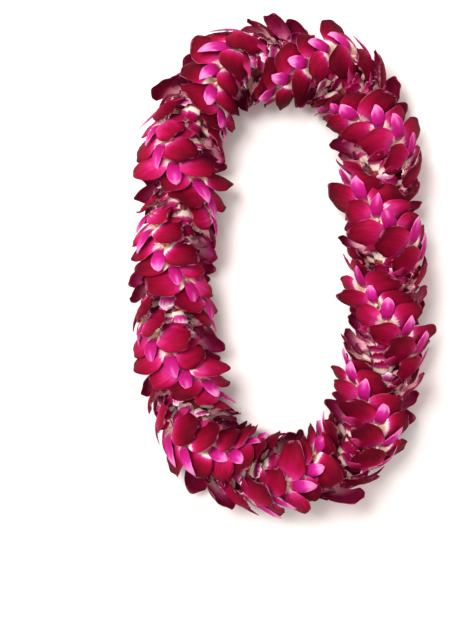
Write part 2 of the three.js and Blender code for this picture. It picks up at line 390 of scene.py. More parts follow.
@dataclass
class FlowerMesh:
    """A mesh in the making, with the numbers that the finishes read at each of its points."""

    bm: bmesh.types.BMesh = field(default_factory=bmesh.new)

    def __post_init__(self) -> None:
        """Give every point its place along and across its blade, a tone, and its side."""
        floats = self.bm.verts.layers.float
        self.along = floats.new("blade_along")
        self.across = floats.new("blade_across")
        self.tone = floats.new("blade_tone")
        self.front = floats.new("blade_front")

    def grid(
        self, rows: int, columns: int, tissue: Tissue | Fibre, tone: float
    ) -> list[bmesh.types.BMVert]:
        """Lay a flat grid and note each point's place on it.

        Args:
            rows: cells along.
            columns: cells across.
            tissue: the finish of its faces.
            tone: the blade's own tone.

        Returns:
            The grid's points. Each holds 0 to 1 along and -1 to 1 across.
        """
        verts = bmesh.ops.create_grid(self.bm, x_segments=rows, y_segments=columns, size=1)["verts"]
        for vert in verts:
            vert[self.along] = (vert.co.x + 1) / 2
            vert[self.across] = vert.co.y
            vert[self.tone] = tone
            vert[self.front] = 1.0
        for face in faces_of(verts):
            face.material_index = tissue.value
            face.smooth = True
        return verts

    def blade(
        self,
        rows: int,
        columns: int,
        place: Callable[[float, float], Vector],
        thickness: float,
        tissue: Tissue,
        tone: float,
    ) -> None:
        """Add a thin blade with a front, a back and a rim.

        Args:
            rows: cells along its length.
            columns: cells across its width.
            place: where a point goes that lies 0 to 1 along and -1 to 1 across.
            thickness: the blade's thickness.
            tissue: its finish.
            tone: its own tone.
        """
        verts = self.grid(rows, columns, tissue, tone)
        for vert in verts:
            vert.co = place(vert[self.along], vert[self.across])
        faces = faces_of(verts)
        bmesh.ops.reverse_faces(self.bm, faces=faces)
        self.bm.normal_update()
        inward = [(vert, vert.normal * -thickness) for vert in verts]
        bmesh.ops.extrude_face_region(self.bm, geom=faces, use_keep_orig=True)
        for vert, step in inward:
            vert.co += step
            vert[self.front] = 0.0

    def tube(
        self,
        centres: Sequence[Vector],
        sides: Sequence[Vector],
        radii: Sequence[float],
        corners: int,
        closed: bool,
        tissue: Tissue | Fibre,
        tone: float,
    ) -> None:
        """Add a round tube along a line, with its ends closed.

        Args:
            centres: points of its middle line.
            sides: for each, a vector that points to the tube's seam.
            radii: for each, the tube's radius there.
            corners: how many corners its section has.
            closed: whether it runs back into its start.
            tissue: its finish.
            tone: its own tone.
        """
        count = len(centres)
        rows = count if closed else count - 1
        verts = self.grid(rows, corners, tissue, tone)
        for vert in verts:
            step = round(vert[self.along] * rows) % count
            turn = math.pi * vert[self.across]
            ahead = centres[(step + 1) % count] - centres[step - 1]
            if not closed and step in (0, count - 1):
                ahead = centres[min(step + 1, count - 1)] - centres[max(step - 1, 0)]
            ahead.normalize()
            side = (sides[step] - ahead * sides[step].dot(ahead)).normalized()
            other = ahead.cross(side)
            vert.co = centres[step] + (side * math.cos(turn) + other * math.sin(turn)) * radii[step]
        bmesh.ops.remove_doubles(self.bm, verts=verts, dist=MERGE_DISTANCE)
        rims = [edge for edge in self.bm.edges if edge.is_boundary]
        for cap in bmesh.ops.holes_fill(self.bm, edges=rims, sides=0)["faces"]:
            cap.material_index = tissue.value
        kept = [vert for vert in verts if vert.is_valid]
        bmesh.ops.recalc_face_normals(self.bm, faces=faces_of(kept))

    def finish(self, name: str, materials: Sequence[bpy.types.Material], lowest: float) -> bpy.types.Object:
        """Turn the mesh into a piece of the scene.

        Args:
            name: the piece's name.
            materials: its finishes, in slot order.
            lowest: the least height of any point.

        Returns:
            The piece, at the origin.
        """
        for vert in self.bm.verts:
            vert.co.z = max(vert.co.z, lowest)
        open_edges = sum(not edge.is_manifold for edge in self.bm.edges)
        mesh = bpy.data.meshes.new(name)
        self.bm.to_mesh(mesh)
        self.bm.free()
        if open_edges:
            log.warning("%s: %d open edges", name, open_edges)
        for material in materials:
            mesh.materials.append(material)
        piece = bpy.data.objects.new(name, mesh)
        bpy.context.scene.collection.objects.link(piece)
        return piece


@dataclass(frozen=True)
class Mood:
    """How one tepal differs from the others of its kind.

    A bend and a fold are one over the radius to which the blade is bent, along its midrib or along a margin.
    A side is -1 or 1, and a twist and a phase are angles.
    """

    bend: float = 0.0
    fold: float = 0.0
    fold_side: float = 1.0
    twist: float = 0.0
    curl: float = 0.0
    curl_side: float = 0.0
    phase: float = 0.0
    tone: float = EVEN_TONE


@dataclass(frozen=True)
class Habit:
    """How far the blades of one kind differ from each other.

    A bend comes from one of the ranges in bends. Where there are several, bend_shares says at which numbers
    a draw from 0 to 1 passes on to the next.
    """

    bends: tuple[Run, ...]
    fold_share: float
    folds: Run
    twist: float
    tone_variation: float = 0.3
    bend_shares: tuple[float, ...] = ()

    def bend(self, dice: random.Random) -> float:
        """Draw a bend.

        Args:
            dice: the bloom's own draws.

        Returns:
            The bend. The choice of a range takes a draw of its own only where there are several.
        """
        if len(self.bends) == 1:
            return dice.uniform(*self.bends[0])
        kind = dice.random()
        return dice.uniform(*self.bends[bisect_right(self.bend_shares, kind)])

    def mood(self, dice: random.Random, tone: float) -> Mood:
        """Draw how one blade bends, turns on its midrib and perhaps folds a margin over.

        Args:
            dice: the bloom's own draws.
            tone: the bloom's tone.

        Returns:
            The blade's mood.
        """
        bend = self.bend(dice)
        fold = dice.uniform(*self.folds) if dice.random() < self.fold_share else 0.0
        return Mood(
            bend=bend,
            fold=fold,
            fold_side=dice.choice((-1.0, 1.0)),
            twist=dice.uniform(-self.twist, self.twist),
            phase=dice.uniform(0, math.tau),
            tone=tone + dice.uniform(-self.tone_variation, self.tone_variation),
        )


@dataclass(frozen=True)
class Blade:
    """One kind of tepal or lobe: how it is cut, cupped, creased and ruffled, and where it leaves the throat.

    lift_end, open_end, bend_start, fold_run and curl_start are shares of the way from the root to the tip.
    fold_line is a share of the half width. cup is one over the radius that the blade is bent to across its
    width. uneven_reach and uneven_side say how fast the tip and the margins wander, the second along the
    blade, across it and with the mood's phase.
    """

    length: float
    half_width: float
    tissue: Tissue
    claw: float
    widest: float
    claw_rise: float = 1.2
    end_point: float = 0.0
    end_sharpness: float = 1.5
    root: float = 1.6 * MM
    lift: float = 0.0
    lift_end: float = 0.35
    open_end: float = 0.4
    cup: float = 0.0
    crease: float = 0.0
    crease_width: float = 0.14
    crease_fade: float = 0.6
    unevenness: float = 0.0
    uneven_reach: float = 3.4
    uneven_side: tuple[float, float, float] = (5.0, 2.3, 1.7)
    ruffle: float = 0.0
    ruffle_waves: float = 3.0
    ruffle_lean: float = 0.9
    ruffle_rim: float = 0.6
    bend_start: float = 0.3
    fold_line: float = 0.45
    fold_run: Run = (0.15, 0.6)
    curl_start: float = 0.2
    throat_depth: float = 8 * MM
    throat_radius: float = 5 * MM
    thickness: float = 0.45 * MM
    rows: int = 12
    columns: int = 6

    def spread(self, along: float, across: float) -> tuple[float, float]:
        """Where a point lies when the blade is spread out flat.

        Up to its widest place the blade is a fan, and past that it is half an ellipse.

        Args:
            along: 0 at the root, 1 at the tip.
            across: -1 at one margin, 1 at the other.

        Returns:
            The distances out from the throat and off the midrib.
        """
        swell = math.sin(math.pi / 2 * min(along / self.widest, 1.0)) ** self.claw_rise
        past = max(0.0, (along - self.widest) / (1 - self.widest))
        width = (self.claw + (1 - self.claw) * swell) * math.sqrt(1 - past**2 / 2)
        point = self.end_point * past**3 * (1 - abs(across)) ** self.end_sharpness
        tip = past * math.sqrt(1 - across**2 / 2) + point
        reach = min(along, self.widest) + (1 - self.widest) * tip
        return self.root + (self.length - self.root) * reach, self.half_width * width * across

    def curl(self, along: float, across: float, mood: Mood) -> float:
        """How far a point curls off the sheet, most at the tip's corner on the mood's curl side."""
        corner = 1 - abs(mood.curl_side) * (1 - mood.curl_side * across) / 2
        return mood.curl * corner * soft_step(self.curl_start, 1.0, along)

    def shape(self, along: float, across: float, mood: Mood) -> tuple[float, float, float]:
        """Where a point lies once the blade is cupped, bent, folded and ruffled.

        Args:
            along: 0 at the root, 1 at the tip.
            across: -1 at one margin, 1 at the other.
            mood: how this blade differs from its kind.

        Returns:
            The distances out from the throat, off the midrib, and outward from the sheet.
        """
        reach, side = self.spread(along, across)
        uneven = self.unevenness * along**2
        by_along, by_across, by_phase = self.uneven_side
        reach *= 1 + uneven * math.sin(self.uneven_reach * across + mood.phase)
        side *= 1 + uneven * math.sin(by_along * along + by_across * across + by_phase * mood.phase)
        start = self.bend_start * self.length
        lift = self.lift * soft_step(0.0, self.lift_end, along)
        if reach > start:
            on, up = arc(reach - start, mood.bend)
            reach = start + on
            lift += up
        open_share = soft_step(0.0, self.open_end, along)
        on, down = arc(abs(side), self.cup * open_share)
        side = math.copysign(on, side)
        lift -= down
        edge = self.fold_line * self.half_width
        if mood.fold and side * mood.fold_side > edge:
            on, up = arc(side * mood.fold_side - edge, mood.fold * soft_step(*self.fold_run, along))
            side = mood.fold_side * (edge + on)
            lift += up
        lift += math.tan(mood.twist) * side * along
        margin = max(abs(across), soft_step(self.ruffle_rim, 1.0, along)) ** 3
        wave = math.sin(math.tau * (self.ruffle_waves * along + self.ruffle_lean * across) + mood.phase)
        lift += self.ruffle * margin * wave * open_share
        dip = math.exp(-((across / self.crease_width) ** 2))
        lift -= self.crease * dip * open_share * (1 - self.crease_fade * along)
        lift -= self.throat_depth * math.exp(-((reach / self.throat_radius) ** 2))
        return reach, side, lift

    def build(self, mesh: FlowerMesh, seat: BloomSeat, direction: float, mood: Mood) -> None:
        """Grow this blade on a bloom.

        Args:
            mesh: the mesh to add to.
            seat: the bloom's seat.
            direction: which way it grows, from straight forward.
            mood: how it differs from its kind.
        """
        ahead = math.cos(direction) * seat.size
        aside = math.sin(direction) * seat.size

        def place(along: float, across: float) -> Vector:
            """Where a point of the blade goes.

            Args:
                along: 0 at the root, 1 at the tip.
                across: -1 at one margin, 1 at the other.

            Returns:
                The point in the row frame.
            """
            reach, side, lift = self.shape(along, across, mood)
            forward = reach * ahead - side * aside
            sideways = reach * aside + side * ahead
            return seat.sheet_point(forward, sideways, lift, self.curl(along, across, mood))

        mesh.blade(self.rows, self.columns, place, self.thickness, self.tissue, mood.tone)

    def build_inside(self, mesh: FlowerMesh, seat: BloomSeat, stand: InnerStand, mood: Mood) -> None:
        """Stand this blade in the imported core, below the open blades.

        Args:
            mesh: the mesh to add to.
            seat: the bloom's seat.
            stand: where and how steeply it stands.
            mood: how it differs from its kind.
        """

        def place(along: float, across: float) -> Vector:
            """Where a point of the blade goes."""
            reach, side, lift = self.shape(along, across, mood)
            return seat.inner_point(stand, reach, side, lift)

        mesh.blade(self.rows, self.columns, place, self.thickness, self.tissue, mood.tone)


@dataclass(frozen=True)
class Column:
    """The short pillar in the middle of a bloom, with the anther cap on its end."""

    root_depth: float = 8 * MM
    height: float = 0.8 * MM
    lean: float = 1.2 * MM
    lean_back: float = 2.4
    radii_mm: tuple[float, ...] = (1.5, 1.35, 1.4, 1.6, 1.7, 1.3, 0.7, 0.0)
    corners: int = 9

    def build(self, mesh: FlowerMesh, seat: BloomSeat, tone: float) -> None:
        """Stand the column in a bloom's throat.

        Args:
            mesh: the mesh to add to.
            seat: the bloom's seat.
            tone: the bloom's tone.
        """
        throat, forward, sideways, outward = seat.axes()
        count = len(self.radii_mm)
        centres = []
        for step in range(count):
            share = step / (count - 1)
            rise = -self.root_depth + (self.root_depth + self.height) * share
            lean = self.lean * (1 - self.lean_back * share**2)
            centres.append(throat + outward * rise + forward * lean)
        radii = [radius * MM for radius in self.radii_mm]
        mesh.tube(centres, [sideways] * count, radii, self.corners, False, Tissue.COLUMN, tone)


@dataclass(frozen=True)
class Stalk:
    """The tube behind a bloom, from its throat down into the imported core."""

    top_depth: float = 6.5 * MM
    root_radius: float = 11 * MM
    radii: tuple[float, ...] = (2.3 * MM, 2.9 * MM, 2.7 * MM, 2.3 * MM, 2.0 * MM)
    corners: int = 8

    def build(self, mesh: FlowerMesh, seat: BloomSeat, tone: float) -> None:
        """Run the stalk from a bloom's throat to the core.

        Args:
            mesh: the mesh to add to.
            seat: the bloom's seat.
            tone: the bloom's tone.
        """
        throat, _, sideways, outward = seat.axes()
        top = throat - outward * self.top_depth
        root = seat.path.tube_point(seat.along, seat.roll, self.root_radius)
        count = len(self.radii)
        centres = [top.lerp(root, step / (count - 1)) for step in range(count)]
        mesh.tube(centres, [sideways] * count, self.radii, self.corners, False, Tissue.COLUMN, tone)


@dataclass(frozen=True)
class PackedCore:
    """The crumpled bases of the blooms, packed round the thread in one whorl."""

    layout: LeiLayout
    radius: float = 12.2 * MM
    hole: float = 1.7 * MM
    gap: float = 0.4 * MM
    knot_gap: float = 6 * MM
    profile: tuple[tuple[float, float], ...] = ((0.25, 1.0), (0.4, 0.93), (0.6, 1.0), (0.75, 0.93))
    end_width: float = 0.7
    shoulder: float = 1.2 * MM
    shoulder_width: float = 0.93
    flutes: int = 9
    flute_depth: float = 0.16
    flute_run: Run = (0.3, 0.8)
    flute_lean: float = 220.0
    flute_sway: float = 1.7
    sways: int = 3
    corners: int = 36

    def ends(self, whorl: int) -> tuple[float, float]:
        """Where the core of a whorl starts and ends along the thread.

        Args:
            whorl: the whorl, counted from 0.

        Returns:
            The two distances. The cores on both sides of the knot leave it more room.
        """
        length = self.layout.whorl_length
        before = self.knot_gap if whorl == 0 else self.gap
        after = self.knot_gap if whorl == self.layout.whorls - 1 else self.gap
        return whorl * length + before / 2, (whorl + 1) * length - after / 2

    def build(self, mesh: FlowerMesh, whorl: int) -> None:
        """Add the core of one whorl, pierced for the thread.

        Args:
            mesh: the mesh to add to.
            whorl: the whorl, counted from 0.
        """
        start, end = self.ends(whorl)
        inner = self.hole / self.radius
        middle = [(start + (end - start) * share, width) for share, width in self.profile]
        section = [
            (start, inner),
            (start, self.end_width),
            (start + self.shoulder, self.shoulder_width),
            *middle,
            (end - self.shoulder, self.shoulder_width),
            (end, self.end_width),
            (end, inner),
        ]
        rows = len(section)
        verts = mesh.grid(rows, self.corners, Tissue.CORE, EVEN_TONE)
        for vert in verts:
            along, share = section[round(vert[mesh.along] * rows) % rows]
            roll = math.pi * vert[mesh.across]
            sway = self.flute_sway * math.sin(self.sways * roll + whorl)
            fold = math.sin(self.flutes * roll + self.flute_lean * along + sway)
            fluted = 1 - self.flute_depth * (1 + fold) / 2 * soft_step(*self.flute_run, share)
            vert.co = self.layout.path.round_point(along, roll, self.radius * share * fluted)
        bmesh.ops.remove_doubles(mesh.bm, verts=verts, dist=MERGE_DISTANCE)
        kept = [vert for vert in verts if vert.is_valid]
        bmesh.ops.recalc_face_normals(mesh.bm, faces=faces_of(kept))


@dataclass(frozen=True)
class OrchidBloom:
    """One dendrobium bloom: two petals, three sepals, a lip with side lobes, a column and a stalk."""

    petal: Blade = Blade(
        length=31.5 * MM,
        half_width=15.8 * MM,
        tissue=Tissue.PETAL,
        claw=0.2,
        widest=0.6,
        end_point=0.03,
        lift=0.6 * MM,
        cup=30,
        crease=0.5 * MM,
        unevenness=0.05,
        ruffle=0.8 * MM,
        ruffle_waves=2.6,
        rows=16,
        columns=12,
    )
    upper_sepal: Blade = Blade(
        length=28 * MM,
        half_width=5.3 * MM,
        tissue=Tissue.SEPAL,
        claw=0.5,
        widest=0.42,
        end_point=0.2,
        lift=0.6 * MM,
        cup=115,
        crease=0.3 * MM,
        unevenness=0.03,
        ruffle=0.15 * MM,
    )
    lower_sepal: Blade = Blade(
        length=27 * MM,
        half_width=6 * MM,
        tissue=Tissue.OUTER_SEPAL,
        claw=0.45,
        widest=0.4,
        end_point=0.3,
        lift=-0.4 * MM,
        cup=90,
        crease=0.3 * MM,
        unevenness=0.03,
        ruffle=0.25 * MM,
    )
    lip: Blade = Blade(
        length=16 * MM,
        half_width=6.8 * MM,
        tissue=Tissue.LIP,
        claw=0.35,
        widest=0.6,
        end_point=0.1,
        lift=3.2 * MM,
        cup=35,
        crease=0.8 * MM,
        ruffle=0.9 * MM,
        ruffle_waves=4.0,
        rows=10,
        columns=8,
    )
    side_lobe: Blade = Blade(
        length=8.5 * MM,
        half_width=4.2 * MM,
        tissue=Tissue.LIP,
        claw=0.6,
        widest=0.5,
        lift=1.5 * MM,
        cup=-60,
        ruffle=0.5 * MM,
        bend_start=0.2,
        rows=7,
        columns=5,
    )
    inner_lobe: Blade = Blade(
        length=19 * MM,
        half_width=8.5 * MM,
        tissue=Tissue.LIP,
        claw=0.6,
        widest=0.55,
        root=0.0,
        cup=60,
        crease=0.6 * MM,
        ruffle=1.1 * MM,
        ruffle_waves=2.2,
        throat_depth=0.0,
        rows=9,
        columns=8,
    )
    column: Column = Column()
    stalk: Stalk = Stalk()
    petal_habit: Habit = Habit(
        bends=((-22, 10), (10, 26), (24, 42)),
        bend_shares=(0.55, 0.85),
        fold_share=0.22,
        folds=(90, 220),
        twist=0.2,
    )
    sepal_habit: Habit = Habit(
        bends=((-20, 20),),
        fold_share=0.3,
        folds=(150, 350),
        twist=0.4,
    )
    inner_habit: Habit = Habit(
        bends=((-40, 40),),
        fold_share=0.4,
        folds=(150, 300),
        twist=0.3,
        tone_variation=0.4,
    )
    lower_sepal_spread: float = math.radians(108)
    lower_sepal_variation: float = 0.15
    upper_sepal_variation: float = 0.14
    upper_sepal_curl: float = 3 * MM
    upper_sepal_curl_shares: Run = (0.2, 1.1)
    lip_direction: float = math.radians(180)
    side_lobe_direction: float = math.radians(128)
    side_lobe_bends: Run = (70, 110)
    inner_turns: tuple[float, ...] = (math.radians(72), math.radians(-72), math.radians(104))
    inner_turn_variation: float = 0.2
    inner_starts_mm: Run = (-6, 4)
    inner_rises: Run = (0.5, 1.0)
    tone_range: Run = (0.15, 0.8)
    end_tone: float = 0.4
    end_start: float = 120 * MM
    end_span: float = 50 * MM
    tip_turn: float = 1.0
    petal_top_weight: float = 20.0
    sepal_top_weight: float = 12.0
    faded_blooms: range = range(103, 111)
    faded_tone: float = 2.2
    faded_share: float = 0.3
    first_seed: int = 7000

    def build(self, mesh: FlowerMesh, seat: BloomSeat) -> None:
        """Grow the whole bloom on its seat.

        Args:
            mesh: the mesh to add to.
            seat: the bloom's seat.
        """
        dice = random.Random(self.first_seed + seat.number)
        throat = seat.sheet_point(0, 0, 0)
        end_share = soft_step(self.end_start, self.end_start + self.end_span, abs(throat.y))
        tone = dice.uniform(*self.tone_range) + self.end_tone * end_share
        self._lower_sepals(mesh, seat, dice, tone)
        left = self._petal_mood(dice, tone, seat.roll + self.tip_turn)
        self.petal.build(mesh, seat, seat.left_spread, replace(left, curl=seat.left_lift, curl_side=-1.0))
        right = self._petal_mood(dice, tone, seat.roll - self.tip_turn)
        self.petal.build(mesh, seat, -seat.right_spread, replace(right, curl=seat.right_lift, curl_side=1.0))
        self._upper_sepal(mesh, seat, dice, tone)
        self._lip(mesh, seat, dice, tone)
        for turn in self.inner_turns:
            self._inner_lobe(mesh, seat, dice, tone, turn)
        self.column.build(mesh, seat, tone)
        self.stalk.build(mesh, seat, tone)

    def _petal_mood(self, dice: random.Random, tone: float, roll: float) -> Mood:
        """Draw how one petal differs, given the angle round the thread of its tip: on top it lies closest."""
        mood = self.petal_habit.mood(dice, tone)
        return replace(mood, bend=mood.bend - self.petal_top_weight * max(0.0, math.cos(roll)))

    def _lower_sepals(self, mesh: FlowerMesh, seat: BloomSeat, dice: random.Random, tone: float) -> None:
        """Grow the two sepals that spread to the sides, below the petals.

        Args:
            mesh: the mesh to add to.
            seat: the bloom's seat.
            dice: the bloom's own draws.
            tone: the bloom's tone.
        """
        vary = self.lower_sepal_variation
        for side in (1, -1):
            direction = side * self.lower_sepal_spread + dice.uniform(-vary, vary)
            self.lower_sepal.build(mesh, seat, direction, self.sepal_habit.mood(dice, tone))

    def _upper_sepal(self, mesh: FlowerMesh, seat: BloomSeat, dice: random.Random, tone: float) -> None:
        """Grow the bright sepal that lies over the two petals and curls off them.

        Args:
            mesh: the mesh to add to.
            seat: the bloom's seat.
            dice: the bloom's own draws.
            tone: the bloom's tone.
        """
        mood = self.sepal_habit.mood(dice, tone)
        mood = replace(
            mood,
            bend=mood.bend - self.sepal_top_weight * max(0.0, math.cos(seat.roll)),
            curl=self.upper_sepal_curl * dice.uniform(*self.upper_sepal_curl_shares),
        )
        vary = self.upper_sepal_variation
        self.upper_sepal.build(mesh, seat, dice.uniform(-vary, vary), mood)

    def _lip(self, mesh: FlowerMesh, seat: BloomSeat, dice: random.Random, tone: float) -> None:
        """Grow the lip and the two lobes that stand up beside the column.

        Args:
            mesh: the mesh to add to.
            seat: the bloom's seat.
            dice: the bloom's own draws.
            tone: the bloom's tone.
        """
        self.lip.build(mesh, seat, self.lip_direction, self.sepal_habit.mood(dice, tone))
        for side in (1, -1):
            mood = Mood(bend=dice.uniform(*self.side_lobe_bends), phase=dice.uniform(0, math.tau), tone=tone)
            self.side_lobe.build(mesh, seat, side * self.side_lobe_direction, mood)

    def _inner_lobe(
        self, mesh: FlowerMesh, seat: BloomSeat, dice: random.Random, tone: float, turn: float
    ) -> None:
        """Stand one lobe in the gap beside the bloom, some of them with a pale margin.

        Args:
            mesh: the mesh to add to.
            seat: the bloom's seat.
            dice: the bloom's own draws.
            tone: the bloom's tone.
            turn: how far round the thread from the bloom it stands.
        """
        vary = self.inner_turn_variation
        stand = InnerStand(
            turn=turn + dice.uniform(-vary, vary),
            start=dice.uniform(*self.inner_starts_mm) * MM,
            rise=dice.uniform(*self.inner_rises),
        )
        mood = self.inner_habit.mood(dice, tone)
        if seat.number in self.faded_blooms or dice.random() < self.faded_share:
            mood = replace(mood, tone=self.faded_tone)
        self.inner_lobe.build_inside(mesh, seat, stand, mood)


class Socket:
    """An output of a shader node, so that sums over a surface read as plain sums."""

    def __init__(self, tree: ShaderTree, output: bpy.types.NodeSocket) -> None:
        """Wrap one output of a tree's node."""
        self.tree = tree
        self.output = output

    def __add__(self, other: Socket | float) -> Socket:
        """This plus other."""
        return self.tree.maths("ADD", self, other)

    def __radd__(self, other: Socket | float) -> Socket:
        """Other plus this."""
        return self.tree.maths("ADD", other, self)

    def __sub__(self, other: Socket | float) -> Socket:
        """This less other."""
        return self.tree.maths("SUBTRACT", self, other)

    def __rsub__(self, other: Socket | float) -> Socket:
        """Other less this."""
        return self.tree.maths("SUBTRACT", other, self)

    def __mul__(self, other: Socket | float) -> Socket:
        """This times other."""
        return self.tree.maths("MULTIPLY", self, other)

    def __rmul__(self, other: Socket | float) -> Socket:
        """Other times this."""
        return self.tree.maths("MULTIPLY", other, self)

    def __abs__(self) -> Socket:
        """This without its sign."""
        return self.tree.maths("ABSOLUTE", self)


class ShaderTree:
    """A material in the making."""

    def __init__(self, name: str) -> None:
        """Start an empty material with a surface shader.

        Args:
            name: the material's name.
        """
        self.material = bpy.data.materials.new(name)
        self.material.use_nodes = True
        self.nodes = self.material.node_tree.nodes
        self.links = self.material.node_tree.links
        self.shader = self.nodes["Principled BSDF"]

    def node(self, kind: str, settings: dict[str, object], inputs: dict[str | int, object]) -> bpy.types.Node:
        """Add a node.

        Args:
            kind: the node's type.
            settings: its settings. stops are the positions and colours of a ramp.
            inputs: the value or Socket of each input, by name, number or identifier.

        Returns:
            The node.
        """
        node = self.nodes.new(kind)
        for name, value in settings.items():
            if name == "stops":
                self._set_stops(node.color_ramp, value)
            else:
                setattr(node, name, value)
        for key, value in inputs.items():
            self.plug(self._input(node, key), value)
        return node

    @staticmethod
    def _set_stops(ramp: bpy.types.ColorRamp, stops: Sequence[tuple[float, Colour]]) -> None:
        """Give a ramp its stops.

        Args:
            ramp: the ramp.
            stops: the position and the colour of each, from left to right.
        """
        while len(ramp.elements) < len(stops):
            ramp.elements.new(1.0)
        for element, (position, colour) in zip(ramp.elements, stops):
            element.position = position
            element.color = (*colour, 1.0)

    @staticmethod
    def _input(node: bpy.types.Node, key: str | int) -> bpy.types.NodeSocket:
        """Find an input of a node.

        Args:
            node: the node.
            key: the input's number, identifier or name.

        Returns:
            The first input that fits.
        """
        if isinstance(key, int):
            return node.inputs[key]
        return next(socket for socket in node.inputs if key in (socket.identifier, socket.name))

    def plug(self, target: bpy.types.NodeSocket, value: object) -> None:
        """Set an input, or link a Socket to it.

        Args:
            target: the input.
            value: the number, colour or vector that it is to hold, or the Socket that is to feed it.
        """
        if isinstance(value, Socket):
            self.links.new(value.output, target)
        elif isinstance(value, tuple) and len(value) == 3 and target.type == "RGBA":
            target.default_value = (*value, 1.0)
        else:
            target.default_value = value

    def read(self, node: bpy.types.Node, output: str | int = 0) -> Socket:
        """One output of a node."""
        return Socket(self, node.outputs[output])

    def maths(self, operation: str, *values: Socket | float) -> Socket:
        """Work out one number from others."""
        node = self.node("ShaderNodeMath", {"operation": operation}, dict(enumerate(values)))
        return self.read(node)

    def attribute(self, name: str) -> Socket:
        """A number that the mesh holds at each of its points."""
        return self.read(self.node("ShaderNodeAttribute", {"attribute_name": name}, {}), "Fac")

    def step(self, value: Socket | float, low: float, high: float) -> Socket:
        """Rise smoothly from 0 to 1.

        Args:
            value: the number that the step reads.
            low: where it is still 0.
            high: where it has reached 1.

        Returns:
            The step.
        """
        settings = {"interpolation_type": "SMOOTHSTEP"}
        inputs = {"Value": value, "From Min": low, "From Max": high, "To Min": 0.0, "To Max": 1.0}
        return self.read(self.node("ShaderNodeMapRange", settings, inputs), "Result")

    def vector(self, x: Socket | float, y: Socket | float, z: Socket | float) -> Socket:
        """A vector from three numbers."""
        return self.read(self.node("ShaderNodeCombineXYZ", {}, {"X": x, "Y": y, "Z": z}))

    def noise(self, place: Socket, scale: float, detail: float) -> Socket:
        """A soft random number from 0 to 1 at each place."""
        inputs = {"Vector": place, "Scale": scale, "Detail": detail}
        return self.read(self.node("ShaderNodeTexNoise", {}, inputs), "Fac")

    def ramp(self, value: Socket | float, stops: Sequence[tuple[float, Colour]]) -> Socket:
        """A colour from a number."""
        return self.read(self.node("ShaderNodeValToRGB", {"stops": stops}, {"Fac": value}), "Color")

    def mix(self, share: Socket | float, first: Socket | Colour, second: Socket | Colour) -> Socket:
        """A colour between two others.

        Args:
            share: how much of the second there is in it.
            first: the one colour.
            second: the other.

        Returns:
            The colour.
        """
        inputs = {"Factor_Float": share, "A_Color": first, "B_Color": second}
        node = self.node("ShaderNodeMix", {"data_type": "RGBA"}, inputs)
        return Socket(self, next(socket for socket in node.outputs if socket.identifier == "Result_Color"))

    def bump(self, height: Socket, strength: float, distance: float) -> Socket:
        """A normal from a height."""
        inputs = {"Height": height, "Strength": strength, "Distance": distance}
        return self.read(self.node("ShaderNodeBump", {}, inputs))

    def surface(self, **inputs: object) -> bpy.types.Material:
        """Set the surface shader.

        Args:
            inputs: the value or Socket of each of its inputs, with _ for each space in a name.

        Returns:
            The finished material.
        """
        for key, value in inputs.items():
            self.plug(self.shader.inputs[key.replace("_", " ")], value)
        return self.material


@dataclass(frozen=True)
class BladeMarks:
    """The numbers that the mesh holds at each point of a blade, as the shader reads them."""

    along: Socket
    across: Socket
    tone: Socket
    front: Socket

    @classmethod
    def read(cls, tree: ShaderTree) -> BladeMarks:
        """Read them in a material."""
        names = ("blade_along", "blade_across", "blade_tone", "blade_front")
        return cls(*(tree.attribute(name) for name in names))


@dataclass(frozen=True)
class Grain:
    """A soft pattern: how fast it changes along, across and from blade to blade, and how finely."""

    along: float
    across: float
    blade: float
    detail: float

    def over(self, tree: ShaderTree, marks: BladeMarks) -> Socket:
        """Lay the pattern over a blade, as a number from 0 to 1."""
        place = tree.vector(marks.along * self.along, marks.across * self.across, marks.tone * self.blade)
        return tree.noise(place, 1.0, self.detail)


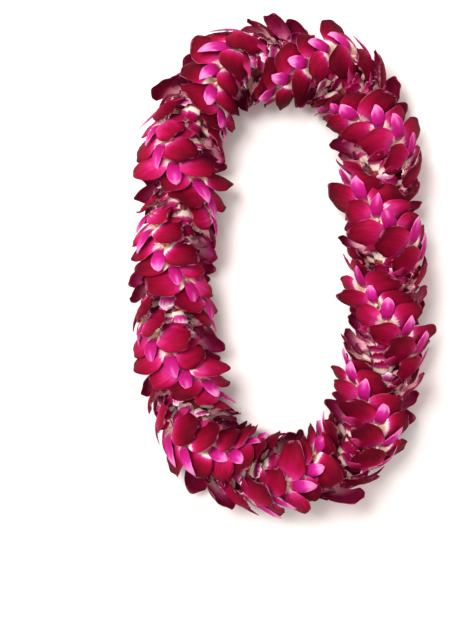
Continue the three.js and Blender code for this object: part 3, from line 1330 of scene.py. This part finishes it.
@dataclass(frozen=True)
class BladeFinish:
    """Orchid tissue: pale at the root, deep further out, streaked along the blade and paler behind. Its
    throat has a painted glow that stands in for light shining through the thin tissue.

    A share says how much of a colour is laid on, and a reach how far a pattern shifts the ramps along the
    blade. A run is where something sets in and where it is in full.
    """

    name: str
    front: tuple[tuple[float, Colour], ...]
    back: tuple[tuple[float, Colour], ...]
    margin: Colour
    vein: Colour
    keel: Colour = (0.9, 0.3, 0.6)
    faded: Colour = (0.9, 0.6, 0.7)
    streaks: Grain = Grain(along=1.2, across=6.0, blade=37.0, detail=2.0)
    veins: Grain = Grain(along=2.2, across=26.0, blade=19.0, detail=1.0)
    clouds: Grain = Grain(along=2.4, across=1.8, blade=61.0, detail=2.0)
    outer_run: Run = (0.2, 0.55)
    streak_reach: float = 0.16
    cloud_reach: float = 0.0
    tone_reach: float = 0.5
    throat_reach: float = 0.0
    throat_step: float = 83.0
    throat_run: Run = (0.45, 0.65)
    claw_run: Run = (0.0, 0.1)
    vein_share: float = 0.35
    vein_run: Run = (0.5, 0.68)
    keel_share: float = 0.0
    keel_width: float = 0.4
    keel_waver: float = 0.4
    keel_run: Run = (0.5, 0.9)
    faded_tones: Run = (1.4, 2.0)
    faded_run: Run = (0.3, 0.5)
    faded_rim: Run = (0.6, 1.0)
    faded_waver: float = 0.7
    margin_and_highlight_share: float = 0.45
    margin_back: float = 0.6
    margin_run: Run = (0.93, 1.0)
    margin_waver: float = 0.08
    margin_clouds: Run = (0.48, 0.62)
    painted_glow_end: float = 0.3
    painted_glow_fade: float = 0.14
    painted_throat_glow: float = 0.1
    roughness: float = 0.6
    roughness_reach: float = 0.16
    gloss: float = 0.04
    vein_height: float = 0.6
    streak_height: float = 0.4
    bump_strength: float = 0.25
    bump_depth: float = 0.4 * MM
    softness: float = 0.1
    soft_radius: Colour = (1.0, 0.2, 0.3)
    soft_depth: float = 1.2 * MM

    def material(self) -> bpy.types.Material:
        """Mix the finish from the blade's own numbers.

        Returns:
            The material.
        """
        tree = ShaderTree(self.name)
        marks = BladeMarks.read(tree)
        streak = self.streaks.over(tree, marks)
        vein = self.veins.over(tree, marks)
        cloud = self.clouds.over(tree, marks)
        outer = tree.step(marks.along, *self.outer_run)
        place = self._place(tree, marks, streak, cloud, outer)
        veined = tree.step(vein, *self.vein_run) * outer * self.vein_share
        face = tree.mix(veined, tree.ramp(place, self.front), self.vein)
        behind = tree.mix(veined, tree.ramp(place, self.back), self.vein)
        face = self._keel(tree, marks, streak, face)
        rim = tree.maths("MAXIMUM", abs(marks.across), marks.along)
        face = self._fade(tree, marks, rim + (vein - NOISE_MIDDLE) * self.faded_waver, face)
        # Pale margin: partly the tissue's own paler rim, partly a painted highlight where the rims catch the
        # light.
        edge = tree.step(rim + (streak - NOISE_MIDDLE) * self.margin_waver, *self.margin_run)
        edge = edge * tree.step(cloud, *self.margin_clouds) * self.margin_and_highlight_share
        face = tree.mix(edge, face, self.margin)
        behind = tree.mix(edge * self.margin_back, behind, self.margin)
        colour = tree.mix(marks.front, behind, face)
        # Painted glow: the pale throat emits its own colour, standing in for light that shines through the
        # thin tissue.
        throat = 1 - tree.step(place, self.painted_glow_end - self.painted_glow_fade, self.painted_glow_end)
        height = vein * self.vein_height + streak * self.streak_height
        return tree.surface(
            Base_Color=colour,
            Roughness=self.roughness + streak * self.roughness_reach,
            Normal=tree.bump(height, self.bump_strength, self.bump_depth),
            Specular_IOR_Level=self.gloss,
            Subsurface_Weight=self.softness,
            Subsurface_Radius=self.soft_radius,
            Subsurface_Scale=self.soft_depth,
            Emission_Color=tree.mix(throat, (0.0, 0.0, 0.0), colour),
            Emission_Strength=self.painted_throat_glow,
        )

    def _place(
        self, tree: ShaderTree, marks: BladeMarks, streak: Socket, cloud: Socket, outer: Socket
    ) -> Socket:
        """Where on the ramps a point lies.

        Args:
            tree: the material in the making.
            marks: the blade's own numbers.
            streak: the pattern of streaks.
            cloud: the pattern of broad patches, which stay off the throat.
            outer: 0 in the throat, 1 further out.

        Returns:
            The share of the way along the ramps. It starts later in blades with a wide pale throat.
        """
        place = marks.along + (streak - NOISE_MIDDLE) * self.streak_reach
        place = place + (cloud - NOISE_MIDDLE) * self.cloud_reach * outer
        depth = tree.maths("MINIMUM", marks.tone, 1.0) - EVEN_TONE
        place = place + depth * self.tone_reach * outer
        draw = tree.noise(tree.vector(marks.tone * self.throat_step, 0.0, 0.0), 1.0, 0.0)
        wide = tree.step(draw, *self.throat_run) * self.throat_reach
        return place - wide * (1 - outer) * tree.step(marks.along, *self.claw_run)

    def _keel(self, tree: ShaderTree, marks: BladeMarks, streak: Socket, face: Socket) -> Socket:
        """Lay the lighter band over the outer part of the midrib.

        Args:
            tree: the material in the making.
            marks: the blade's own numbers.
            streak: the pattern of streaks.
            face: the colour of the blade's front.

        Returns:
            The colour with the band on it.
        """
        off = abs(marks.across) + (streak - NOISE_MIDDLE) * self.keel_waver
        band = (1 - tree.step(off, 0.0, self.keel_width)) * tree.step(marks.along, *self.keel_run)
        return tree.mix(band * self.keel_share, face, self.keel)

    def _fade(self, tree: ShaderTree, marks: BladeMarks, rim: Socket, face: Socket) -> Socket:
        """Turn a faded blade to the keel's colour, with a pale rim.

        Args:
            tree: the material in the making.
            marks: the blade's own numbers.
            rim: how near a point lies to the margin, roughened by the veins.
            face: the colour of the blade's front.

        Returns:
            The colour, changed only where the tone says that the blade is faded.
        """
        faded = tree.step(marks.tone, *self.faded_tones)
        face = tree.mix(faded * tree.step(marks.along, *self.faded_run), face, self.keel)
        return tree.mix(faded * tree.step(rim, *self.faded_rim), face, self.faded)


@dataclass(frozen=True)
class WaxyFinish:
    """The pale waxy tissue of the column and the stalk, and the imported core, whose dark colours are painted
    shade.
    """

    name: str
    pale: Colour
    flush: Colour
    tip: Colour
    mottle_scale: float = 260.0
    mottle_detail: float = 3.0
    flush_run: Run = (0.38, 0.66)
    tip_run: Run = (0.62, 0.8)
    roughness: float = 0.4
    roughness_reach: float = 0.2
    bump_strength: float = 0.2
    bump_depth: float = 0.3 * MM
    softness: float = 0.15
    soft_radius: Colour = (1.0, 0.6, 0.4)
    soft_depth: float = 1.5 * MM

    def material(self) -> bpy.types.Material:
        """Mix the finish.

        Returns:
            The material.
        """
        tree = ShaderTree(self.name)
        along = tree.attribute("blade_along")
        place = tree.read(tree.node("ShaderNodeTexCoord", {}, {}), "Object")
        mottle = tree.noise(place, self.mottle_scale, self.mottle_detail)
        colour = tree.mix(tree.step(mottle, *self.flush_run), self.pale, self.flush)
        colour = tree.mix(tree.step(along, *self.tip_run), colour, self.tip)
        return tree.surface(
            Base_Color=colour,
            Roughness=self.roughness + mottle * self.roughness_reach,
            Normal=tree.bump(mottle, self.bump_strength, self.bump_depth),
            Subsurface_Weight=self.softness,
            Subsurface_Radius=self.soft_radius,
            Subsurface_Scale=self.soft_depth,
        )


@dataclass(frozen=True)
class CottonFinish:
    """Twisted cotton thread, with fine fibres along its plies."""

    name: str = "twisted_cotton"
    light: Colour = (0.86, 0.82, 0.7)
    dark: Colour = (0.6, 0.54, 0.42)
    fibre_scale: float = 1800.0
    fibre_detail: float = 4.0
    roughness: float = 0.78
    roughness_reach: float = 0.15
    bump_strength: float = 0.4
    bump_depth: float = 0.1 * MM
    sheen: float = 0.2

    def material(self) -> bpy.types.Material:
        """Mix the finish.

        Returns:
            The material.
        """
        tree = ShaderTree(self.name)
        place = tree.read(tree.node("ShaderNodeTexCoord", {}, {}), "Object")
        fibre = tree.noise(place, self.fibre_scale, self.fibre_detail)
        return tree.surface(
            Base_Color=tree.mix(fibre, self.dark, self.light),
            Roughness=self.roughness + fibre * self.roughness_reach,
            Normal=tree.bump(fibre, self.bump_strength, self.bump_depth),
            Sheen_Weight=self.sheen,
        )


@dataclass(frozen=True)
class FlowerFinishes:
    """The finishes of a whorl, one for each tissue."""

    petal: BladeFinish = BladeFinish(
        name="petal",
        front=(
            (0.0, (0.7, 0.42, 0.3)),
            (0.07, (0.94, 0.77, 0.66)),
            (0.14, (0.9, 0.5, 0.56)),
            (0.21, (0.58, 0.03, 0.2)),
            (0.4, (0.41, 0.005, 0.07)),
            (0.6, (0.28, 0.0025, 0.03)),
            (0.82, (0.18, 0.0015, 0.015)),
            (1.0, (0.09, 0.001, 0.009)),
        ),
        back=(
            (0.0, (0.84, 0.44, 0.48)),
            (0.18, (0.84, 0.32, 0.45)),
            (0.42, (0.52, 0.055, 0.21)),
            (0.7, (0.25, 0.008, 0.06)),
            (1.0, (0.14, 0.003, 0.026)),
        ),
        margin=(0.8, 0.2, 0.34),
        vein=(0.12, 0.001, 0.012),
        margin_and_highlight_share=0.4,
        cloud_reach=0.45,
        throat_reach=0.18,
        vein_share=0.45,
        painted_glow_end=0.2,
    )
    sepal: BladeFinish = BladeFinish(
        name="sepal",
        front=(
            (0.0, (0.6, 0.3, 0.18)),
            (0.1, (0.8, 0.48, 0.4)),
            (0.16, (0.6, 0.08, 0.24)),
            (0.24, (0.36, 0.003, 0.11)),
            (0.56, (0.43, 0.004, 0.16)),
            (0.84, (0.56, 0.013, 0.27)),
            (1.0, (0.82, 0.2, 0.52)),
        ),
        back=(
            (0.0, (0.64, 0.32, 0.22)),
            (0.22, (0.6, 0.2, 0.25)),
            (1.0, (0.34, 0.02, 0.09)),
        ),
        margin=(0.86, 0.3, 0.52),
        vein=(0.26, 0.002, 0.06),
        keel=(0.88, 0.34, 0.6),
        faded=(0.96, 0.66, 0.8),
        margin_and_highlight_share=0.6,
        vein_share=0.65,
        keel_share=0.36,
        tone_reach=0.36,
        veins=Grain(along=2.2, across=14.0, blade=19.0, detail=1.0),
        gloss=0.1,
        painted_glow_end=0.16,
    )
    # Painted shade: the lower sepals are a darker copy of the sepal finish, standing in for the shade they
    # lie in below the petals.
    outer_sepal_painted_shade: BladeFinish = BladeFinish(
        name="outer_sepal_painted_shade",
        front=(
            (0.0, (0.6, 0.3, 0.18)),
            (0.1, (0.8, 0.48, 0.4)),
            (0.16, (0.56, 0.06, 0.2)),
            (0.26, (0.36, 0.003, 0.07)),
            (0.6, (0.26, 0.002, 0.035)),
            (0.85, (0.24, 0.002, 0.035)),
            (1.0, (0.46, 0.02, 0.14)),
        ),
        back=(
            (0.0, (0.84, 0.44, 0.48)),
            (0.2, (0.76, 0.26, 0.4)),
            (0.4, (0.4, 0.025, 0.13)),
            (1.0, (0.19, 0.004, 0.036)),
        ),
        margin=(0.7, 0.16, 0.3),
        vein=(0.14, 0.001, 0.018),
        margin_and_highlight_share=0.35,
        vein_share=0.5,
        tone_reach=0.4,
        veins=Grain(along=2.2, across=14.0, blade=19.0, detail=1.0),
        gloss=0.1,
        painted_glow_end=0.16,
    )
    lip: BladeFinish = BladeFinish(
        name="lip",
        front=(
            (0.0, (0.6, 0.34, 0.2)),
            (0.14, (0.97, 0.86, 0.66)),
            (0.38, (0.95, 0.74, 0.66)),
            (0.48, (0.66, 0.06, 0.26)),
            (0.72, (0.4, 0.004, 0.09)),
            (1.0, (0.24, 0.002, 0.03)),
        ),
        back=(
            (0.0, (0.82, 0.42, 0.4)),
            (0.34, (0.94, 0.56, 0.6)),
            (0.6, (0.66, 0.1, 0.3)),
            (1.0, (0.4, 0.012, 0.11)),
        ),
        margin=(0.88, 0.38, 0.46),
        vein=(0.36, 0.01, 0.08),
        keel=(0.72, 0.04, 0.32),
        faded=(0.97, 0.7, 0.82),
        margin_and_highlight_share=0.7,
        vein_share=0.4,
        veins=Grain(along=2.2, across=12.0, blade=19.0, detail=1.0),
        painted_glow_end=0.46,
        painted_throat_glow=0.16,
    )
    column: WaxyFinish = WaxyFinish(
        name="column",
        pale=(0.94, 0.7, 0.6),
        flush=(0.8, 0.4, 0.38),
        tip=(0.84, 0.46, 0.46),
    )
    # Painted shade: the packed bases are coloured dark crimson to stand in for the deep shade inside the tube
    # of blooms.
    core: WaxyFinish = WaxyFinish(
        name="packed_bases_painted_shade",
        pale=(0.3, 0.03, 0.04),
        flush=(0.16, 0.006, 0.014),
        tip=(0.2, 0.015, 0.03),
    )

    def materials(self) -> list[bpy.types.Material]:
        """The materials in the order of Tissue."""
        finishes = (self.petal, self.sepal, self.outer_sepal_painted_shade, self.lip, self.column, self.core)
        return [finish.material() for finish in finishes]


@dataclass(frozen=True)
class Blooms:
    """All the blooms of the lei, three to a whorl."""

    layout: LeiLayout
    bloom: OrchidBloom = OrchidBloom()
    finishes: FlowerFinishes = FlowerFinishes()
    lowest: float = 0.05 * MM

    def build(self) -> None:
        """Build and dress every whorl."""
        core = PackedCore(self.layout)
        materials = self.finishes.materials()
        for whorl in range(self.layout.whorls):
            mesh = FlowerMesh()
            core.build(mesh, whorl)
            for place in range(self.layout.blooms_per_whorl):
                self.bloom.build(mesh, self.layout.seat(whorl, place))
            piece = mesh.finish(f"orchid_whorl_{whorl + 1:02d}", materials, self.lowest)
            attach(piece, BODY)
            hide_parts(f"bloom_whorl_{whorl + 1:02d}")
            log.info("%s: %d faces", piece.name, len(piece.data.polygons))


@dataclass(frozen=True)
class Thread:
    """The cotton thread: two plies laid round each other, a knot, and the knot's two tails."""

    path: LeiPath
    plies: int = 2
    ply_radius: float = 0.45 * MM
    ply_offset: float = 0.38 * MM
    turns: int = 200
    steps_per_turn: int = 6
    corners: int = 5
    knot_scale: float = 0.62 * MM
    knot_steps: int = 48
    knot_girth: float = 1.3
    knot_corners: int = 6
    tail_length: float = 8 * MM
    tail_sway: float = 0.6 * MM
    tail_sway_turn: float = 4.0
    tail_side: tuple[float, float, float] = (1.0, 0.2, 0.0)
    tail_rolls: tuple[float, ...] = (0.5, -0.7)
    tail_radii_mm: tuple[float, ...] = (0.0, 0.62, 0.7, 0.62, 0.68, 0.6, 0.72, 0.3)

    def build(self) -> None:
        """Build and dress the thread."""
        mesh = FlowerMesh()
        for ply in range(self.plies):
            self._ply(mesh, math.tau * ply / self.plies)
        self._knot(mesh)
        for roll in self.tail_rolls:
            self._tail(mesh, roll)
        piece = mesh.finish("cotton_thread", [CottonFinish().material()], 0.0)
        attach(piece, BODY)
        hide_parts("thread")
        log.info("%s: %d faces", piece.name, len(piece.data.polygons))

    def _ply(self, mesh: FlowerMesh, start: float) -> None:
        """Lay one ply round the loop.

        Args:
            mesh: the mesh to add to.
            start: the angle round the thread at which it starts.
        """
        count = self.turns * self.steps_per_turn
        centres = []
        sides = []
        for step in range(count):
            along = self.path.length * step / count
            roll = start + math.tau * step / self.steps_per_turn
            middle = self.path.round_point(along, 0, 0)
            centre = self.path.round_point(along, roll, self.ply_offset)
            centres.append(centre)
            sides.append(centre - middle)
        radii = [self.ply_radius] * count
        mesh.tube(centres, sides, radii, self.corners, True, Fibre.COTTON, EVEN_TONE)

    def _knot(self, mesh: FlowerMesh) -> None:
        """Tie the knot, a tight overhand turn.

        Args:
            mesh: the mesh to add to.
        """
        middle = self.path.round_point(0, 0, 0)
        centres = []
        for step in range(self.knot_steps):
            turn = math.tau * step / self.knot_steps
            x = math.sin(turn) + 2 * math.sin(2 * turn)
            y = math.cos(turn) - 2 * math.cos(2 * turn)
            centres.append(middle + Vector((-math.sin(3 * turn), x, y)) * self.knot_scale)
        sides = [centre - middle for centre in centres]
        radii = [self.knot_girth * self.ply_radius] * self.knot_steps
        mesh.tube(centres, sides, radii, self.knot_corners, True, Fibre.COTTON, EVEN_TONE)

    def _tail(self, mesh: FlowerMesh, roll: float) -> None:
        """Let one tail stand out of the knot.

        Args:
            mesh: the mesh to add to.
            roll: the angle round the thread at which it stands.
        """
        count = len(self.tail_radii_mm)
        centres = []
        for step in range(count):
            share = step / (count - 1)
            sway = self.tail_sway * math.sin(self.tail_sway_turn * share)
            centres.append(self.path.round_point(sway, roll, self.tail_length * share))
        sides = [Vector(self.tail_side)] * count
        radii = [radius * MM for radius in self.tail_radii_mm]
        mesh.tube(centres, sides, radii, self.corners, False, Fibre.COTTON, EVEN_TONE)


@dataclass(frozen=True)
class Studio:
    """A plain pale floor, soft light from the upper left, and the camera over the lei."""

    camera_x: float = -41.8 * MM
    camera_y: float = -49.9 * MM
    camera_height: float = 1.538
    view_distance: float = 1.5
    view_length: float = 0.608
    sensor: float = 24.0
    floor_half: float = 4.0
    floor_colour: Colour = (0.93, 0.89, 0.87)
    floor_roughness: float = 0.9
    sky: Colour = (1.0, 0.95, 0.92)
    sky_strength: float = 0.8
    key_place: tuple[float, float, float] = (-0.85, 0.65, 2.2)
    key_size: float = 1.1
    key_power: float = 63.0

    def build(self) -> None:
        """Set up the floor, the lights and the camera."""
        self._floor()
        self._sky()
        self._key()
        self._camera()
        bpy.context.scene.view_settings.view_transform = "Standard"

    def _floor(self) -> None:
        """Lay the floor."""
        bm = bmesh.new()
        bmesh.ops.create_grid(bm, x_segments=1, y_segments=1, size=self.floor_half)
        mesh = bpy.data.meshes.new("floor")
        bm.to_mesh(mesh)
        bm.free()
        tree = ShaderTree("floor_paper")
        paper = tree.surface(Base_Color=self.floor_colour, Roughness=self.floor_roughness)
        mesh.materials.append(paper)
        floor = bpy.data.objects.new("floor", mesh)
        bpy.context.scene.collection.objects.link(floor)

    def _sky(self) -> None:
        """Fill the room with even light."""
        world = bpy.data.worlds.new("room")
        world.use_nodes = True
        background = world.node_tree.nodes["Background"]
        background.inputs["Color"].default_value = (*self.sky, 1.0)
        background.inputs["Strength"].default_value = self.sky_strength
        bpy.context.scene.world = world

    def _key(self) -> None:
        """Hang the soft box, turned to the lei."""
        light = bpy.data.lights.new("soft_box", "AREA")
        light.shape = "SQUARE"
        light.size = self.key_size
        light.energy = self.key_power
        lamp = bpy.data.objects.new("soft_box", light)
        lamp.location = self.key_place
        lamp.rotation_euler = (-Vector(self.key_place)).to_track_quat("-Z", "Y").to_euler()
        bpy.context.scene.collection.objects.link(lamp)

    def _camera(self) -> None:
        """Hang the camera straight over the middle of the view."""
        lens = bpy.data.cameras.new("camera")
        lens.sensor_fit = "VERTICAL"
        lens.sensor_height = self.sensor
        lens.lens = self.sensor * self.view_distance / self.view_length
        camera = bpy.data.objects.new("camera", lens)
        camera.location = (self.camera_x, self.camera_y, self.camera_height)
        bpy.context.scene.collection.objects.link(camera)
        bpy.context.scene.camera = camera


def main() -> None:
    """Build the lei and its studio, and log each piece's face count."""
    logging.basicConfig(level=logging.INFO, format="%(message)s")
    path = LeiPath()
    Studio().build()
    Thread(path).build()
    Blooms(LeiLayout(path)).build()


if __name__ == "__main__":
    main()
